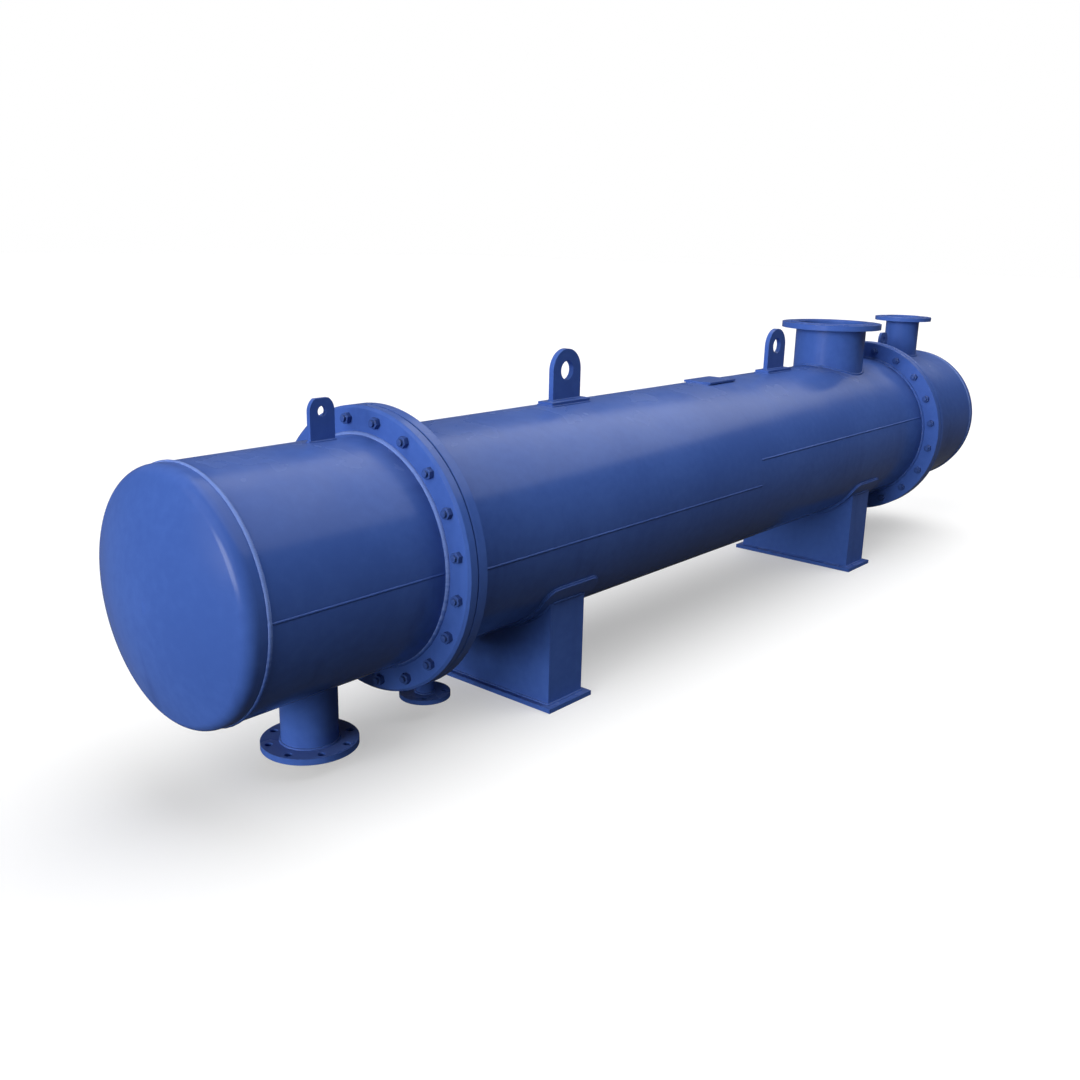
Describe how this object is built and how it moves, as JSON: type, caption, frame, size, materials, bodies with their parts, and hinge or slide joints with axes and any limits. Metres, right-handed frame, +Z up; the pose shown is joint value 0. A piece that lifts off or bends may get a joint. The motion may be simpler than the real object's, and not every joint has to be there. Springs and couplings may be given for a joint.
{
  "type": "shell-and-tube heat exchanger",
  "caption": "Horizontal shell-and-tube heat exchanger: painted steel shell on box saddles, bolted end channels with dished heads, flanged nozzles and lifting lugs.",
  "frame": {"origin": "on the floor under the middle of the exchanger, at the underside of the saddle bases", "axes": "+X along the shell's axis towards the rear channel, +Z up"},
  "size_m": [4.792, 0.8579, 1.137],
  "materials": {
    "blue_paint": "gloss enamel over welded steel plate",
    "gasket_sheet": "compressed fibre sheet, matt",
    "tube_steel": "drawn steel tube with mill scale"
  },
  "bodies": {
    "root": {"front_head": "blue_paint", "rear_head": "blue_paint", "front_channel_barrel": "blue_paint", "rear_channel_barrel": "blue_paint", "front_channel_flange": "blue_paint", "rear_channel_flange": "blue_paint", "front_tubesheet": "blue_paint", "rear_tubesheet": "blue_paint", "front_shell_course": "blue_paint", "rear_shell_course": "blue_paint", "tube_side_inlet_neck": "blue_paint", "tube_side_inlet_flange": "blue_paint", "tube_side_outlet_neck": "blue_paint", "tube_side_outlet_flange": "blue_paint", "vapour_inlet_neck": "blue_paint", "vapour_inlet_flange": "blue_paint", "shell_drain_neck": "blue_paint", "shell_drain_flange": "blue_paint", "front_lug_pad": "blue_paint", "rear_lug_pad": "blue_paint", "front_lifting_lug": "blue_paint", "rear_lifting_lug": "blue_paint", "front_channel_lifting_lug": "blue_paint", "rear_channel_lifting_lug": "blue_paint", "bracket_plate": "blue_paint", "front_saddle_base": "blue_paint", "front_saddle_front_web": "blue_paint", "front_saddle_back_web": "blue_paint", "front_saddle_side_plates": "blue_paint", "front_saddle_wear_plate": "blue_paint", "rear_saddle_base": "blue_paint", "rear_saddle_front_web": "blue_paint", "rear_saddle_back_web": "blue_paint", "rear_saddle_side_plates": "blue_paint", "rear_saddle_wear_plate": "blue_paint", "front_gasket": "gasket_sheet", "rear_gasket": "gasket_sheet", "tube_bundle": "tube_steel"}
  },
  "joints": []
}
